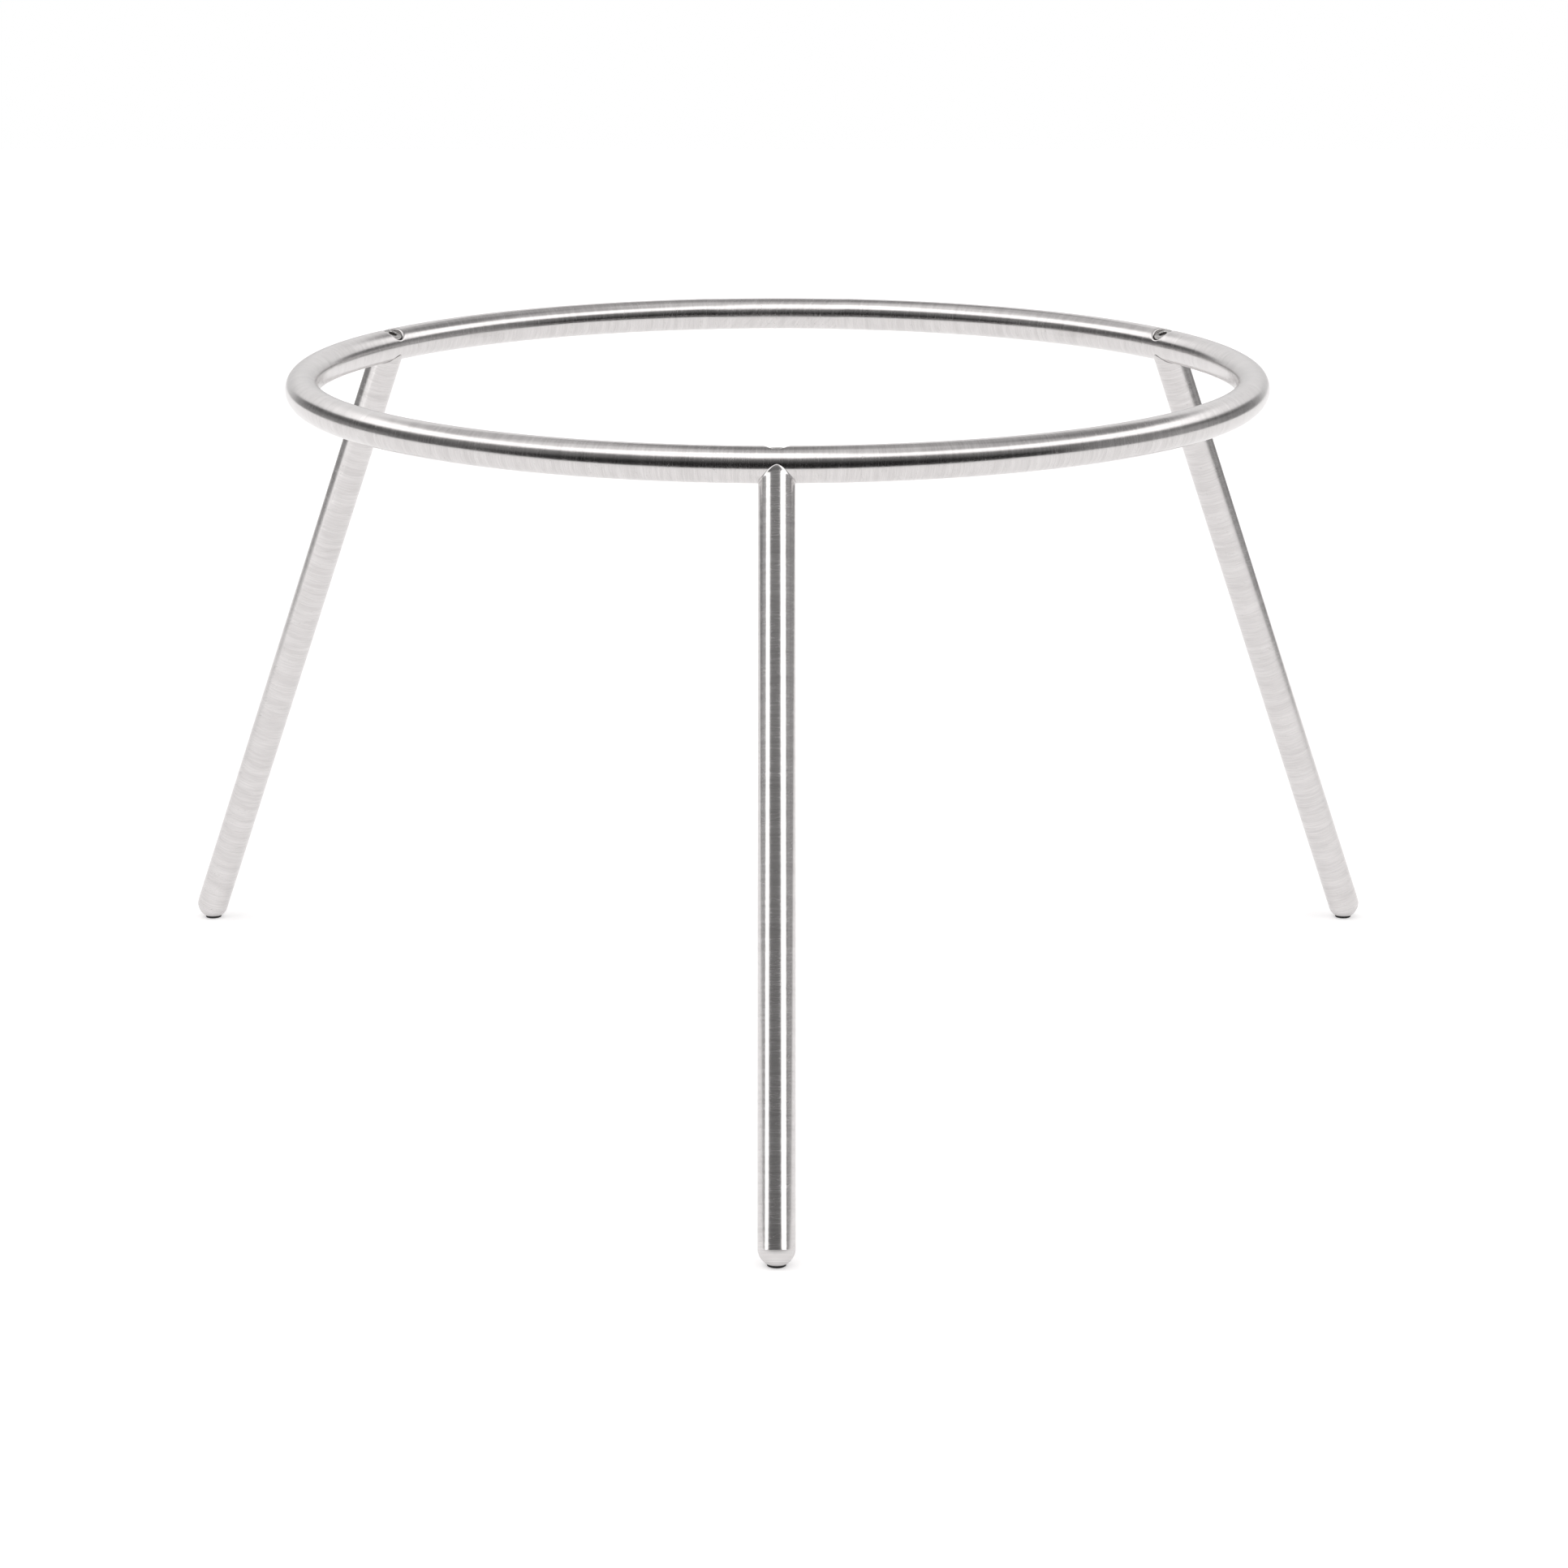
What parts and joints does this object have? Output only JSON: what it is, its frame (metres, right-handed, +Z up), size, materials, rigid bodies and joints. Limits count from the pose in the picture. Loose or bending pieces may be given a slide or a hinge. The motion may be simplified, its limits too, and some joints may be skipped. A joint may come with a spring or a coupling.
{
  "type": "tripod ring stand",
  "caption": "Tripod ring stand of brushed stainless tube: a level round ring on leaning, screwed-on legs with domed, rubber-padded feet, to hold a vessel above a burner.",
  "frame": {"origin": "on the ring's axis, at the level of the foot pads' undersides", "axes": "+Z up along the ring's axis; -Y towards the front leg; +X towards the rear right leg's side"},
  "size_m": [0.4614, 0.4394, 0.2416],
  "materials": {
    "ring_steel": "satin, brushed round the tube",
    "leg_steel": "satin, fine brushing",
    "foot_steel": "turned and polished",
    "screw_steel": "bright stainless",
    "inner_steel": "machined",
    "pad_rubber": "matt"
  },
  "bodies": {
    "root": {"top_ring": "ring_steel", "ring_joint_spigot": "inner_steel", "front_leg": "leg_steel", "front_leg_screw": "screw_steel", "front_screw_sleeve": "inner_steel", "front_threaded_plug": "inner_steel", "front_foot_end": "foot_steel", "front_foot_pad": "pad_rubber", "rear_right_leg": "leg_steel", "rear_right_leg_screw": "screw_steel", "rear_right_screw_sleeve": "inner_steel", "rear_right_threaded_plug": "inner_steel", "rear_right_foot_end": "foot_steel", "rear_right_foot_pad": "pad_rubber", "rear_left_leg": "leg_steel", "rear_left_leg_screw": "screw_steel", "rear_left_screw_sleeve": "inner_steel", "rear_left_threaded_plug": "inner_steel", "rear_left_foot_end": "foot_steel", "rear_left_foot_pad": "pad_rubber"}
  },
  "joints": []
}
